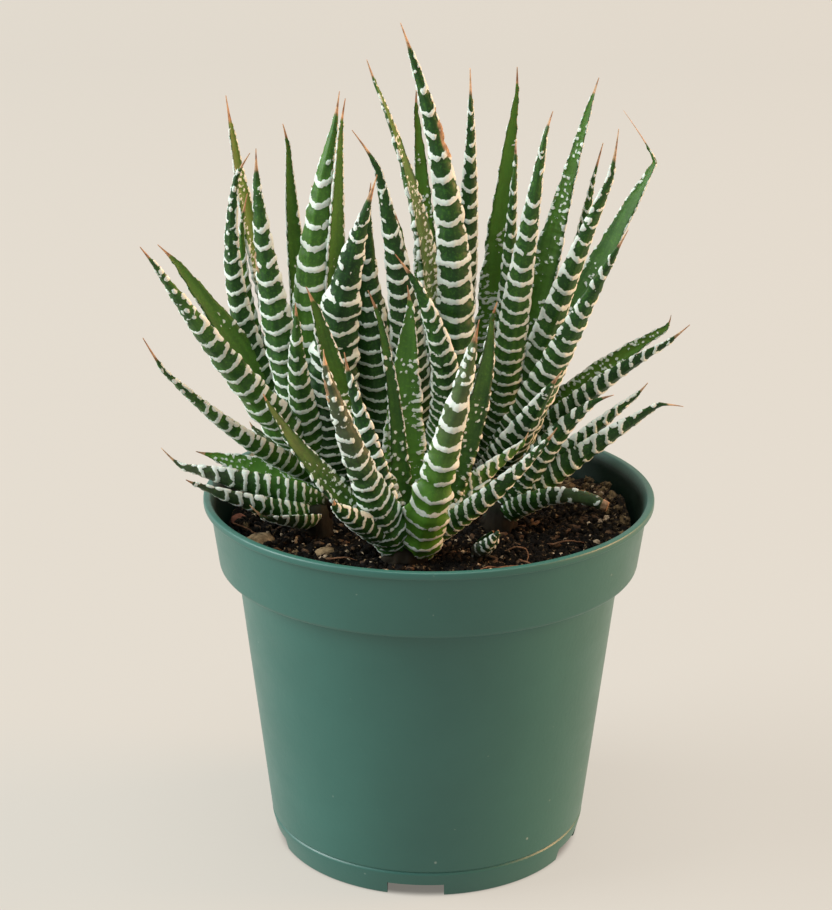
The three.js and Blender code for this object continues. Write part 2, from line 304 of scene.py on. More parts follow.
def moulded_pot_plastic():
    """Satin green plastic: faint cloudiness, light specks of dust, and a gloss that varies a little.
    Its inner wall carries a painted shade, dark and dull."""
    material, shader, place = new_material("moulded_pot_plastic", IOR=1.49, Coat_Roughness=0.42)
    cloud = cloudy(place, 38.0, 4.0, 0.55)
    body = ramp(cloud, (0.3, (0.019, 0.104, 0.083)), (0.7, (0.024, 0.119, 0.096)))
    near = ranged(cells(place, 230.0, 1.0), 0.10, 0.05, way="LINEAR")
    rare = ranged(cloudy(place, 300.0, 1.0), 0.60, 0.66, way="LINEAR")
    dusty = mix(near * rare, body, (0.22, 0.30, 0.26, 1))
    # painted shade on the inner wall: near-black, with less gloss and no coat
    inside = carried(place.tree, "inside")
    stretched = add_node(place.tree, "ShaderNodeMapping", "Vector", Vector=place, Scale=(90, 90, 140))
    scuff = cloudy(stretched, 1.0, 5.0, 0.6)
    feed(
        shader,
        Base_Color=mix(inside, dusty, (0.006, 0.015, 0.010, 1)),
        Specular_IOR_Level=ranged(inside, 0.0, 1.0, 0.45, 0.12, "LINEAR"),
        Coat_Weight=ranged(inside, 0.0, 1.0, 0.25, 0.0, "LINEAR"),
        Roughness=ranged(scuff, 0.35, 0.7, 0.40, 0.48, "LINEAR"),
        Normal=bump(cloudy(place, 900.0, 3.0), 0.12, 0.0003),
    )
    return material


def notch_cutter():
    """One box for each notch, laid across the foot."""
    shape = bmesh.new()
    reach = (FOOT_RADIUS + POT_WALL - NOTCH_INNER_RADIUS) * MM
    for i in range(NOTCH_COUNT):
        bearing = math.radians(NOTCH_FIRST_BEARING + i * 360 / NOTCH_COUNT)
        for vert in bmesh.ops.create_cube(shape, size=1)["verts"]:
            x = NOTCH_INNER_RADIUS * MM + reach / 2 + vert.co.x * reach
            y = vert.co.y * NOTCH_WIDTH * MM
            vert.co = Vector((
                x * math.cos(bearing) - y * math.sin(bearing),
                x * math.sin(bearing) + y * math.cos(bearing),
                vert.co.z * NOTCH_HEIGHT * 2 * MM,
            ))
    return piece_from(shape, "notch_cutter")


def make_pot():
    pot = put_in_scene("nursery_pot", turned_mesh("nursery_pot", pot_outline(), POT_STEPS))
    cutter = notch_cutter()
    cut = pot.modifiers.new("notches", "BOOLEAN")
    cut.operation = "DIFFERENCE"
    cut.solver = "EXACT"
    cut.object = cutter
    apply_modifiers(pot)
    bpy.data.objects.remove(cutter)
    # marks the inner wall for its painted shade
    inner = pot.data.attributes.new("inside", "FLOAT", "POINT")
    for vert in pot.data.vertices:
        r, z = math.hypot(vert.co.x, vert.co.y) / MM, vert.co.z / MM
        within = FLOOR_TOP - INNER_MARGIN < z < POT_HEIGHT - RIM_MARGIN and r < wall_radius(z) - INNER_MARGIN
        inner.data[vert.index].value = PAINTED_INNER_SHADE if within else 0.0
    pot.data.materials.clear()
    pot.data.materials.append(moulded_pot_plastic())
    pot.data.set_sharp_from_angle(angle=math.radians(SHARP_EDGE))
    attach(pot, "root")
    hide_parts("pot")


make_pot()


# ---- Soil --------------------------------------------------------------------------------------
# Damp peat and bark mix that fills the pot to 9 mm under the lip. Its surface is crumbly, with
# crumbs, bark chips and grit that Geometry Nodes scatter on it, and with clods and scraps of root.

GAP = 0.3
SOIL_TOP = 80
SOIL_LUMP = 1.1
SOIL_STEPS = 200
SOIL_SURFACE_RINGS = 62
MOUND_HEIGHT = 3.6
MOUND_REACH = 15
MOUND_MIDDLE = (45, 13)
STREWN_INNER_RADIUS = 0.8
STREWN_EDGE = 2.6
STREWN_LIFT = 0.2
CRUMB_COUNT = 8000
CHIP_COUNT = 420
GRIT_COUNT = 300
CLOD_SINKING = 0.15
CLOD_ROUGHNESS = 0.75
ROOT_RADIUS = 0.26
# x, y and size of each clod
CLODS = [
    (27, 22, 2.8), (31, 17, 2.5), (35, 19, 2.8), (38, 13, 2.3), (41, 8, 2.5), (33, 26, 2.6), (28, 29, 2.8),
    (43, 2, 2.1), (23, 27, 2.3), (36, 6, 1.8), (30, 9, 1.8), (39, 20, 2.1), (46, -8, 2.0), (47, -2, 2.3),
    (46, 4, 2.1), (45, 10, 2.5), (43, 15, 2.1), (40, 23, 2.5), (36, 28, 2.6), (32, 33, 2.8), (42, 12, 1.8),
    (44, -13, 2.0), (41, -18, 1.6), (36, -26, 1.5), (34, 23, 1.8), (38, 17, 1.6), (44, 19, 2.1),
    (-31, -20, 1.8), (-33, -17, 1.5), (-21, -28, 1.5), (-44, -3, 2.1), (-36, 12, 2.8), (-12, 34, 3.1),
    (4, 38, 2.8), (-28, 31, 3.0), (16, 40, 3.0), (-44, 12, 2.3),
]
# start, middle and end of each scrap of root, each with its height over the soil
ROOTS = [
    [(12, -31, 0.3), (19, -29, 1.2), (27, -29, 0.6)],
    [(21, -25, 0.5), (23, -29, 1.8), (26, -32, 0.4)],
    [(17, -20, 0.4), (22, -22, 2.2), (23, -27, 0.8)],
    [(28, -14, 0.5), (33, -16, 2.0), (37, -14, 0.5)],
    [(-47, -2, 0.8), (-42, -9, 1.8), (-37, -14, 0.5)],
    [(-24, -25, 0.4), (-20, -26, 1.4), (-15, -25, 0.5)],
    [(30, 14, 1.0), (37, 10, 2.8), (44, 12, 0.8)],
    [(-30, 24, 0.5), (-22, 32, 2.2), (-14, 33, 0.5)],
    [(6, 36, 0.5), (14, 38, 2.0), (20, 34, 0.5)],
]


def soil_height(x, y):
    """Height of the soil's broad lumps, as in the solid under it."""
    lumps = math.sin(x * 0.31 + 1.3) * math.cos(y * 0.27 - 0.6) + 0.5 * math.sin((x - y) * 0.53)
    return SOIL_TOP + SOIL_LUMP * lumps / 1.5


def heaped_height(x, y):
    """The soil's height with the loose soil that is heaped against the wall at the back right."""
    away = (x - MOUND_MIDDLE[0]) ** 2 + (y - MOUND_MIDDLE[1]) ** 2
    return soil_height(x, y) + MOUND_HEIGHT * math.exp(-away / MOUND_REACH ** 2)


def damp_soil():
    """Near-black peat with brown bark fibre, rough and barely shiny where it is damp. Towards the
    back and the right it has dried to a paler brown."""
    material, shader, place = new_material("damp_potting_mix", Specular_IOR_Level=0.12)
    lump = cloudy(place, 800.0, 6.0, 0.65)
    damp = ramp(lump, (0.42, (0.0012, 0.001, 0.0008)), (0.54, (0.004, 0.003, 0.002)),
                (0.61, (0.030, 0.021, 0.011)), (0.68, (0.25, 0.175, 0.095)))
    dried = ramp(lump, (0.42, (0.004, 0.003, 0.002)), (0.53, (0.025, 0.016, 0.008)),
                 (0.60, (0.110, 0.074, 0.035)), (0.68, (0.42, 0.30, 0.17)))
    towards = calc("DOT_PRODUCT", place, (0.83, 0.55, 0), kind="ShaderNodeVectorMath", output="Value")
    feed(
        shader,
        Base_Color=mix(ranged(towards, 0.024, 0.046, 0.0, 0.85, "LINEAR"), damp, dried),
        Roughness=ranged(lump, 0.3, 0.6, 0.6, 0.95, "LINEAR"),
        Normal=bump(lump, 0.8, 0.0008),
    )
    return material


def make_soil(material):
    bottom = NOTCH_HEIGHT + GAP
    shoulder = BAND_FOOT_Z + POT_WALL + GAP
    surface_radius = BAND_FOOT_RADIUS - POT_WALL - GAP
    outline = [
        (0, bottom),
        (wall_radius(bottom) - POT_WALL - GAP, bottom),
        (BODY_TOP_RADIUS - POT_WALL - GAP, shoulder),
        (surface_radius, shoulder),
    ]
    for i in range(SOIL_SURFACE_RINGS + 1):
        outline.append((surface_radius * (1 - i / SOIL_SURFACE_RINGS), SOIL_TOP))
    mesh = turned_mesh("soil_bed", outline, SOIL_STEPS, material)
    for vert in mesh.vertices:
        if abs(vert.co.z - SOIL_TOP * MM) < 1e-7:
            x, y = vert.co.x / MM, vert.co.y / MM
            fine = noise.fractal(Vector((x * 0.35, y * 0.35, 4.0)), 0.8, 2.1, 5)
            clod = max(0.0, noise.noise(Vector((x * 0.55, y * 0.55, 9.0)))) * 1.4
            vert.co.z = (heaped_height(x, y) + fine * 0.9 + clod - 0.3) * MM
    soil = put_in_scene("soil_bed", mesh)
    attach(soil, "root")
    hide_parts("soil")


def new_geometry_tree(name, geometry, inputs):
    """A Geometry Nodes tree with one geometry in and out and named inputs, each with a start value.
    Returns it with the wires of its inputs, and the node that takes its result."""
    tree = bpy.data.node_groups.new(name, "GeometryNodeTree")
    tree.is_modifier = True
    for way in ("INPUT", "OUTPUT"):
        tree.interface.new_socket(geometry, in_out=way, socket_type="NodeSocketGeometry")
    for label, start in inputs.items():
        kind = {int: "NodeSocketInt", float: "NodeSocketFloat"}.get(type(start), "NodeSocketMaterial")
        socket = tree.interface.new_socket(label, in_out="INPUT", socket_type=kind)
        if start is not None:
            socket.default_value = start
    given = {socket.name: Wire(socket) for socket in tree.nodes.new("NodeGroupInput").outputs}
    return tree, given, tree.nodes.new("NodeGroupOutput")


def made_real(geometry):
    return add_node(geometry.tree, "GeometryNodeRealizeInstances", "Geometry", Geometry=geometry)


def push_out(geometry, direction, distance):
    """Moves each vertex along a direction."""
    push = add_node(geometry.tree, "ShaderNodeVectorMath", "Vector", {"operation": "SCALE"},
                    Vector=direction, Scale=distance)
    return add_node(geometry.tree, "GeometryNodeSetPosition", "Geometry", Geometry=geometry, Offset=push)


def coated(geometry, material):
    return add_node(geometry.tree, "GeometryNodeSetMaterial", "Geometry",
                    Geometry=geometry, Material=material)


def scatter_tree(name, material):
    """A tree that strews small rough lumps over a surface, each turned and sized at random."""
    tree, given, result = new_geometry_tree(name, "Surface", {
        "Count": 500, "Smallest": 0.0003, "Largest": 0.001, "Length Ratio": 1.0, "Roughness": 0.3, "Seed": 1,
    })
    surface, seed = given["Surface"], given["Seed"]
    face_area = add_node(tree, "GeometryNodeInputMeshFaceArea", "Area")
    area = add_node(tree, "GeometryNodeAttributeStatistic", "Sum", {"domain": "FACE"},
                    Geometry=surface, Attribute=face_area)
    points = add_node(tree, "GeometryNodeDistributePointsOnFaces", "Points",
                      Mesh=surface, Density=given["Count"] / area, Seed=seed)
    lump = add_node(tree, "GeometryNodeMeshIcoSphere", "Mesh", Radius=1.0, Subdivisions=1)
    size = add_node(tree, "FunctionNodeRandomValue", "Value", {"data_type": "FLOAT"},
                    Min=given["Smallest"], Max=given["Largest"], Seed=seed)
    turn = add_node(tree, "FunctionNodeRandomValue", "Value", {"data_type": "FLOAT_VECTOR"},
                    Min=(-0.5, -0.5, 0.0), Max=(0.5, 0.5, math.tau), Seed=seed)
    lumps = add_node(tree, "GeometryNodeInstanceOnPoints", "Instances", Points=points, Instance=lump,
                     Rotation=turn, Scale=combined(size * given["Length Ratio"], size, size))
    uneven = cloudy(add_node(tree, "GeometryNodeInputPosition", "Position"), 900.0, 1.0, output="Color")
    centred = calc("SUBTRACT", uneven, (0.5, 0.5, 0.5), kind="ShaderNodeVectorMath", output="Vector")
    rough = push_out(made_real(lumps), centred, given["Roughness"] * given["Largest"])
    put(result.inputs["Surface"], coated(rough, material))
    return tree


def set_tree_inputs(modifier, values):
    """Sets a Geometry Nodes modifier's inputs, found by name and set by identifier."""
    for item in modifier.node_group.interface.items_tree:
        if item.item_type == "SOCKET" and item.in_out == "INPUT" and item.name in values:
            modifier[item.identifier] = values[item.name]


def strewn_patch():
    """A ring-shaped patch on the soil, a little over its crust, for lumps to lie on."""
    shape = bmesh.new()
    rings, steps = 24, 96
    outer = BAND_FOOT_RADIUS - POT_WALL - STREWN_EDGE
    grid = []
    for i in range(rings + 1):
        r = STREWN_INNER_RADIUS + (outer - STREWN_INNER_RADIUS) * i / rings
        row = []
        for k in range(steps):
            turn = math.tau * k / steps
            x, y = r * math.cos(turn), r * math.sin(turn)
            row.append(shape.verts.new((x * MM, y * MM, (heaped_height(x, y) + STREWN_LIFT) * MM)))
        grid.append(row)
    for low, high in zip(grid, grid[1:]):
        for k in range(steps):
            n = (k + 1) % steps
            shape.faces.new((low[k], high[k], high[n], low[n]))
    return mesh_from(shape, "strewn_patch")


def strew(name, material, slot, **inputs):
    """One piece of loose lumps strewn over the soil."""
    piece = put_in_scene(name, strewn_patch())
    modifier = piece.modifiers.new(name, "NODES")
    modifier.node_group = scatter_tree(name, material)
    set_tree_inputs(modifier, {key.replace("_", " "): value for key, value in inputs.items()})
    apply_modifiers(piece)
    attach(piece, "root")


def rough_stone(name, dark, light, scale):
    """Dry gritty stone, bark or root in two tones."""
    material, shader, place = new_material(name, Roughness=0.88, Specular_IOR_Level=0.3)
    grain = cloudy(place, scale, 5.0, 0.65)
    feed(shader, Base_Color=ramp(grain, (0.35, dark), (0.65, light)), Normal=bump(grain, 0.5, 0.0004))
    return material


def make_clods(material):
    """Crumbly brown clods of coir that lie mostly towards the back and the right."""
    shape = bmesh.new()
    for i, (x, y, size) in enumerate(CLODS):
        middle = Vector((x, y, heaped_height(x, y) + size * CLOD_SINKING)) * MM
        for vert in bmesh.ops.create_icosphere(shape, subdivisions=3, radius=0.5)["verts"]:
            lumps = noise.fractal(vert.co * 3.4 + Vector((i * 5.0, 0, 0)), 0.7, 2.2, 5)
            vert.co = middle + vert.co * size * (1 + CLOD_ROUGHNESS * lumps) * MM
    clods = piece_from(shape, "coir_clods", material)
    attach(clods, "root")


def make_roots(material):
    """Dry scraps of root that arch over the soil, drawn as thin tapered tubes."""
    shape = bmesh.new()
    steps, sides = 14, 6
    for root in ROOTS:
        ends = [Vector((x, y, soil_height(x, y) + lift)) for x, y, lift in root]
        middle = ends[1] * 2 - (ends[0] + ends[2]) / 2
        rings = []
        for i in range(steps + 1):
            t = i / steps
            centre = ends[0] * (1 - t) ** 2 + middle * 2 * t * (1 - t) + ends[2] * t ** 2
            centre += noise.noise_vector(centre * 0.35) * 0.5
            along = ((middle - ends[0]) * (1 - t) + (ends[2] - middle) * t).normalized()
            side = along.cross(Vector((0, 0, 1))).normalized()
            lift = side.cross(along)
            radius = ROOT_RADIUS * (1 - 0.6 * t)
            rings.append([
                shape.verts.new((centre + (side * math.cos(a) + lift * math.sin(a)) * radius) * MM)
                for a in (math.tau * k / sides for k in range(sides))
            ])
        join_rings(shape, rings)
        shape.faces.new(list(reversed(rings[0])))
        shape.faces.new(rings[-1])
    bmesh.ops.recalc_face_normals(shape, faces=shape.faces)
    roots = piece_from(shape, "root_scraps", material)
    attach(roots, "root")


potting_mix = damp_soil()
make_soil(potting_mix)
strew("soil_crumbs", potting_mix, "soil",
      Count=CRUMB_COUNT, Smallest=0.0003, Largest=0.0011, Roughness=1.3, Seed=11)
strew("bark_chips", rough_stone("bark_fibre", (0.018, 0.009, 0.005), (0.13, 0.072, 0.034), 700.0), "soil",
      Count=CHIP_COUNT, Smallest=0.0003, Largest=0.0009, Length_Ratio=2.6, Roughness=1.2, Seed=5)
make_clods(rough_stone("coir_clod", (0.003, 0.002, 0.001), (0.20, 0.135, 0.062), 620.0))
make_roots(rough_stone("dry_root", (0.07, 0.030, 0.014), (0.26, 0.13, 0.065), 500.0))
strew("pale_grit", rough_stone("pale_grit", (0.20, 0.135, 0.080), (0.62, 0.49, 0.33), 700.0), "pebble",
      Count=GRIT_COUNT, Smallest=0.0002, Largest=0.0010, Roughness=0.6, Seed=23)


# ---- Loose stones ------------------------------------------------------------------------------
# Four water-worn stones from the potting mix, lying half sunk in shallow seats in the soil.
# Each is a sphere drawn out to its size and then dented.

PEBBLE_SEAT = 0.15
PEBBLE_DENTS = 0.10
# name, place, size, turn, finish and slot
PEBBLES = [
    ("pebble_left_large", (-40, -12), (8, 5.5, 4.5), 35, "tan", "pebble"),
    ("pebble_left_red", (-46, 3), (4, 3.5, 3), 0, "red", "red_stone"),
    ("pebble_front_tan", (-24, -20), (5, 3.6, 3.2), 10, "tan", "pebble"),
    ("pebble_right_back", (36, 27), (4, 3.4, 3), 60, "tan", "pebble"),
]
stone_finish = {
    "tan": rough_stone("tan_stone", (0.075, 0.048, 0.022), (0.40, 0.29, 0.16), 600.0),
    "red": rough_stone("red_stone", (0.16, 0.05, 0.03), (0.36, 0.15, 0.10), 420.0),
}


def make_pebble(name, at, size, turn, finish, slot):
    shape = bmesh.new()
    bmesh.ops.create_icosphere(shape, subdivisions=4, radius=0.5)
    angle = math.radians(turn)
    base = soil_height(*at) + size[2] * PEBBLE_SEAT
    for vert in shape.verts:
        dents = noise.fractal(vert.co * 3.0 + Vector((at[0], at[1], 0)), 0.9, 2.0, 3)
        x, y, z = (vert.co[i] * size[i] * (1 + PEBBLE_DENTS * dents) for i in range(3))
        vert.co = Vector((
            (at[0] + x * math.cos(angle) - y * math.sin(angle)) * MM,
            (at[1] + x * math.sin(angle) + y * math.cos(angle)) * MM,
            (base + z) * MM,
        ))
    piece = piece_from(shape, name + "_stone", stone_finish[finish])
    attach(piece, "root")
    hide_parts(name)


for pebble in PEBBLES:
    make_pebble(*pebble)


# ---- Heads of leaves ---------------------------------------------------------------------------
# Each head is one plant of the clump: a short stem whose crown carries thick pointed leaves, flat
# inside and keeled outside. White warts stand in bands across the outer face, and the tips dry out.

GOLDEN_SECTION = 0.618
SPIRAL_SHORTENING = 0.3
LEAF_THICKNESS_RATIO = 0.37
LEAF_TAPER_POWER = 1.0
LEAF_BELLY = 0.6
LEAF_FACE_LIFT = 0.6
LEAF_FULL_WIDTH = 11
BROAD_LEAF = 10.5
BROAD_WAVE = 0.17
NARROW_WAVE = 0.09
FOOT_OFFSET_RATIO = 0.45
FOOT_LENGTH = 8
FOOT_RINGS = 9
CLASP_LENGTH = 13
CLASP_WIDTH = 0.5
EARTH_AND_SHADE_LENGTH = 6.5
STEM_RADIUS_RATIO = 0.5
STEM_DEPTH = 12
STEM_SLIMMING = 0.82
STEM_SCALES = 0.16
STEM_SIDES = 48
STEM_SPLITS = 4
CROWN_SHOULDER = 0.3
CROWN_NECK = 1.6
CROWN_NECK_RADIUS_RATIO = 0.75
CROWN_TOP = 1.9
RING_SPACING = 0.42
FEWEST_RINGS = 24
LOWEST_BANDS = 2.2
BANDS_SPREAD = 2.5
BUD_BANDS = 1.3
THREAD_WIDTH = 0.8
THREAD_POINT = 0.2
THREAD_DRIFT = 1.2
BEND_LENGTH_RATIO = 1.2
BEND_POWER = 1.3
DOTS_FROM = 0.82
CUT_AT = 0.72
FULL_FOOT_FROM = 40
FULL_TIP_FROM = 60
SEED_STEP = 7.31
FIRST_SEED = 40
ORDERS_PER_HEAD = 20
OUTER_STEPS = 18
INNER_STEPS = 8

# A leaf is (tip x, tip y, tip z, bulge x, bulge y, bulge z, width, rise, facing, coat): where its
# tip is, how far its middle stands off the straight line from foot to tip, how wide it is near its
# foot, how far its foot sits above the lowest place, which bearing its inner face looks to, and
# how its inner face is coloured. A spiral is (count, middle bearing, arc, reach from the crown,
# tip height, width). A head is (name, crown, crown's radius, leaves, spirals).
HEADS = [
    ("rosette_front", (-5, -23), 7, [
        (-4, -15, 143, -1, 2, 0, 11, 3, -90, "dotted"),
        (11, -32, 140, 0, -3, 0, 12, 0, 80, "plain"),
        (14, -20, 141, 4, 0, 0, 9, 2, -60, "dotted"),
        (-24, -38, 135, -1, -3, 0, 11, 0, 115, "plain"),
        (-27, -21, 145, -1, 1, 0, 11, 1, -80, "freckled"),
        (-20, -26, 131, 1, 0, 0, 9, 1, 60, "plain"),
        (-13, -17, 143, 2, 1, 0, 7, 3, -80, "plain"),
        (-22, -42, 101, -2, 0, 1, 8, 0, 110, "plain"),
        (30, -23, 113, 0, -2, -2, 8, 0, 100, "plain"),
        (-38, -24, 121, -2, -2, -1, 9, 1, -40, "freckled"),
        (24, -13, 107, 1, 1, 1, 8, 3, 100, "plain"),
        (16, -17, 99, 0, 0, -1, 9, 0, 100, "plain"),
    ], []),
    ("rosette_centre", (-2, 8), 7, [
        (-7, 2, 200, 9, -4, 0, 12, 4, 100, "plain"),
        (-15, 10, 190, 8, 1, 0, 13, 5, -10, "olive"),
        (-4, 18, 182, 2, 2, 0, 10, 5, -90, "olive"),
        (9, 14, 188, 3, 1, 0, 7, 5, 100, "plain"),
        (-14, 0, 175, 3, -4, 0, 10, 4, 90, "plain"),
        (-14, 2, 163, -4, -2, 0, 10, 3, 80, "plain"),
        (-7, -8, 149, 8, -5, 0, 11, 2, 85, "plain"),
    ], [(4, 95, 70, 26, 156, 10)]),
    ("rosette_left", (-22, 10), 7, [
        (-63, -28, 155, 0, -2, -2, 12, 5, 80, "plain"),
        (-62, 0, 149, -1, 0, 2, 11, 7, -60, "plain"),
        (-48, 16, 182, -3, 1, 0, 9, 6, -45, "olive"),
        (-44, 8, 169, -10, 0, 0, 9, 4, 70, "plain"),
        (-44, 13, 158, -7, 1, 0, 6, 4, 70, "plain"),
        (-40, -4, 172, -3, -4, 0, 12, 3, 75, "plain"),
        (-34, 20, 174, -2, 2, 0, 8, 6, -70, "plain"),
        (-28, 26, 157, -1, 3, 0, 6, 5, 90, "plain"),
        (-20, 1, 184, -6, -5, 0, 13, 4, 65, "plain"),
        (-20, -2, 184, -1, -3, 0, 8, 5, -40, "plain"),
        (-12, -11, 167, -5, -3, 0, 13, 2, 80, "plain"),
        (-30, -14, 139, -3, -2, 0, 10, 2, 75, "plain"),
        (-63, -26, 130, 0, 0, -4, 9, 4, 70, "plain"),
        (-56, 5, 97, 0, 0, -2, 9, 4, -60, "olive"),
    ], [(3, 140, 100, 31, 142, 10), (2, 150, 120, 24, 104, 9)]),
    ("rosette_right", (14, 16), 7, [
        (21, 20, 187, -2, 1, 0, 9, 5, -70, "olive"),
        (20, 12, 171, 0, -1, 0, 7, 5, 100, "plain"),
        (27, 2, 180, -1, -4, 0, 10, 4, 85, "plain"),
        (39, 18, 185, -1, 2, 0, 11, 6, -120, "freckled"),
        (40, 20, 169, 3, 2, 0, 6, 4, 90, "plain"),
        (45, 3, 173, -2, -3, 0, 10, 4, 100, "plain"),
        (55, 10, 172, -1, 2, 0, 12, 5, -125, "dotted"),
        (45, -8, 155, -2, -4, -1, 12, 3, 105, "plain"),
        (30, -12, 122, -2, -4, -1, 13, 2, 110, "plain"),
        (61, 14, 128, -2, 0, 3, 9, 3, -100, "olive"),
        (62, 9, 126, -1, -1, 4, 9, 2, 100, "plain"),
    ], [(3, 65, 110, 31, 146, 10), (2, 60, 150, 24, 106, 9)]),
    ("rosette_right_low", (17, -3), 5, [
        (42, -8, 116, -1, 0, 4, 9, 2, 100, "plain"),
        (52, 4, 114, 0, 0, 1, 8, 2, 100, "plain"),
        (58, -2, 114, 0, 0, 1, 9, 1, 100, "plain"),
        (42, -14, 90, 0, 0, 4, 8, 0, 110, "cut"),
    ], []),
    ("rosette_left_low", (-27, -7), 5, [
        (-62, -8, 98, 0, -1, 1, 10, 3, 75, "plain"),
        (-57, -16, 97, 0, 0, -1, 8, 0, 75, "plain"),
        (-39, -25, 91, 0, 0, 0, 8, 0, 75, "plain"),
    ], []),
    ("rosette_pup", (11, -26), 1.6, [
        (16, -27, 89, 0, -1, 0, 5, 0, 90, "bud"),
        (16, -26, 88, 1, 0, 0, 5, 0, 200, "bud"),
        (15, -25, 88, -1, 0, 0, 5, 0, -30, "bud"),
    ], []),
]
# What each coat gives a leaf: the shortest and longest dry tip, how closely its inner face is
# dotted (0 to 1), and how olive that face is (0 to 1).
COATS = {
    "plain": ((4, 8), 0.45, 0.1),
    "dotted": ((3, 5), 0.85, 0.0),
    "freckled": ((4, 6), 0.9, 0.45),
    "olive": ((4, 6), 1.0, 1.0),
    "cut": ((4, 5), 0.5, 0.3),
    "bud": ((1.6, 1.8), 0.2, 0.0),
}
# What sets some leaves apart, by head and by place in its list. thread is how far the dry tip bends
# off the leaf's line. tone goes from dark (0) to bright green (1). scar is the part of the leaf's
# length that has dried, and the side it is on. dust is how grey-brown the outer face is. pitch draws
# its bands closer together, and dots_from is where they break up into dots. slim takes that part of
# its width off the middle, or adds it where it is below nought. twist turns its middle that many
# degrees, and dry is how long its dry tip is.
TRAITS = {
    "rosette_front": {
        0: {"tone": 1.0, "slim": -0.12},
        1: {"tone": 0.9, "dust": 0.7, "pitch": 1.14, "slim": 0.2, "dots_from": 0.68},
        2: {"tone": 0.2, "dust": 0.5},
        3: {"tone": 0.3, "dust": 0.8, "scar": (0.76, 0.90, 1), "pitch": 0.8, "slim": 0.22, "dots_from": 0.5},
        4: {"tone": 0.3},
        6: {"tone": 0.25, "slim": 0.35},
        8: {"tone": 0.3, "pitch": 0.75},
        9: {"tone": 0.2},
        10: {"thread": (-1, 0, 1), "pitch": 0.7},
    },
    "rosette_centre": {
        0: {"tone": 0.3, "thread": (0, 0, 0), "scar": (0.70, 0.83, -1), "pitch": 1.05, "dry": 8},
        1: {"tone": 0.4, "twist": -18},
        3: {"tone": 0.2, "thread": (0, 0, 0), "dry": 9, "slim": -0.35},
        4: {"tone": 0.15, "thread": (-4, 0, 1), "slim": -0.15},
        5: {"tone": 0.15, "slim": -0.38},
        6: {"tone": 0.3, "thread": (-1, 0, 0), "pitch": 0.6},
    },
    "rosette_left": {
        0: {"tone": 0.65, "pitch": 0.88, "dots_from": 0.66},
        1: {"tone": 0.8},
        2: {"tone": 0.7, "thread": (0, 0, -1), "dry": 10},
        3: {"tone": 0.3, "thread": (2, 0, 0), "dots_from": 0.62},
        5: {"tone": 0.45, "scar": (0.66, 0.73, 1)},
        6: {"tone": 0.7},
        8: {"tone": 0.9, "pitch": 0.98, "slim": -0.06},
        9: {"tone": 0.9, "slim": -0.4},
        10: {"tone": 0.05, "thread": (0, 0, 1), "pitch": 0.75, "slim": -0.3},
        12: {"tone": 0.6, "thread": (-1, 0, 4), "pitch": 0.92, "dots_from": 0.64},
    },
    "rosette_right": {
        0: {"tone": 0.95, "slim": -0.35},
        2: {"tone": 0.55},
        3: {"tone": 0.5},
        5: {"tone": 0.45, "thread": (-2, 0, 3), "dry": 8, "dots_from": 0.66},
        6: {"tone": 0.6, "thread": (-10.5, 0, 7), "dry": 5},
        7: {"tone": 0.4, "thread": (0, 0, 0), "pitch": 0.72},
        8: {"tone": 0.2, "pitch": 0.62},
        9: {"tone": 0.6, "thread": (-3, 0, 1)},
        10: {"tone": 0.1, "thread": (0, 0, 2)},
    },
    "rosette_right_low": {
        0: {"tone": 0.2},
        1: {"tone": 0.2, "thread": (0, 0, 1)},
        2: {"tone": 0.2, "thread": (2, 0, -3)},
        3: {"tone": 0.3, "dust": 0.6, "dots_from": 1.2},
    },
    "rosette_left_low": {
        0: {"tone": 0.3, "thread": (-1, 0, 4), "dust": 0.5, "dots_from": 0.7},
        1: {"tone": 0.2, "dust": 0.4},
        2: {"tone": 0.2, "thread": (-2, 0, 3), "dust": 0.5},
    },
    "rosette_pup": {0: {"tone": -0.2}, 1: {"tone": -0.3}, 2: {"tone": -0.3}},
}
BACK_LEAF = {"tone": 0.25, "slim": -0.25}
# What each vertex of a leaf carries: its place on the leaf in millimetres (along, across) and as
# parts of it (reach, edge, outer), its band's number and spacing, and the leaf's own look.
LEAF_NUMBERS = ("along", "across", "edge", "bands", "spacing", "reach", "outer", "dry", "tone",
                "dotting", "olive", "seed", "dust", "earth_and_shade", "scar", "dots_from")


def spiral_leaves(spiral, crown):
    """Leaves spread over an arc by the golden section, each a little shorter than the last."""
    count, bearing, arc, reach, height, width = spiral
    rows = []
    for i in range(count):
        turn = bearing + arc * ((i * GOLDEN_SECTION) % 1 - 0.5)
        tip_x = crown[0] + reach * math.cos(math.radians(turn))
        tip_y = crown[1] + reach * math.sin(math.radians(turn))
        tip_z = SOIL_TOP + (height - SOIL_TOP) * (1 - SPIRAL_SHORTENING * i / count)
        coat = ("plain", "freckled", "dotted")[i % 3]
        rows.append((tip_x, tip_y, tip_z, 0, 0, 0, width, 2, turn + 180, coat))
    return rows


def leaf_axes(along, facing):
    """The way a leaf's inner face looks, and the way across it, at a place on its spine."""
    turn = math.radians(facing)
    look = Vector((math.cos(turn), math.sin(turn), LEAF_FACE_LIFT))
    inward = (look - along * look.dot(along)).normalized()
    return inward, along.cross(inward)


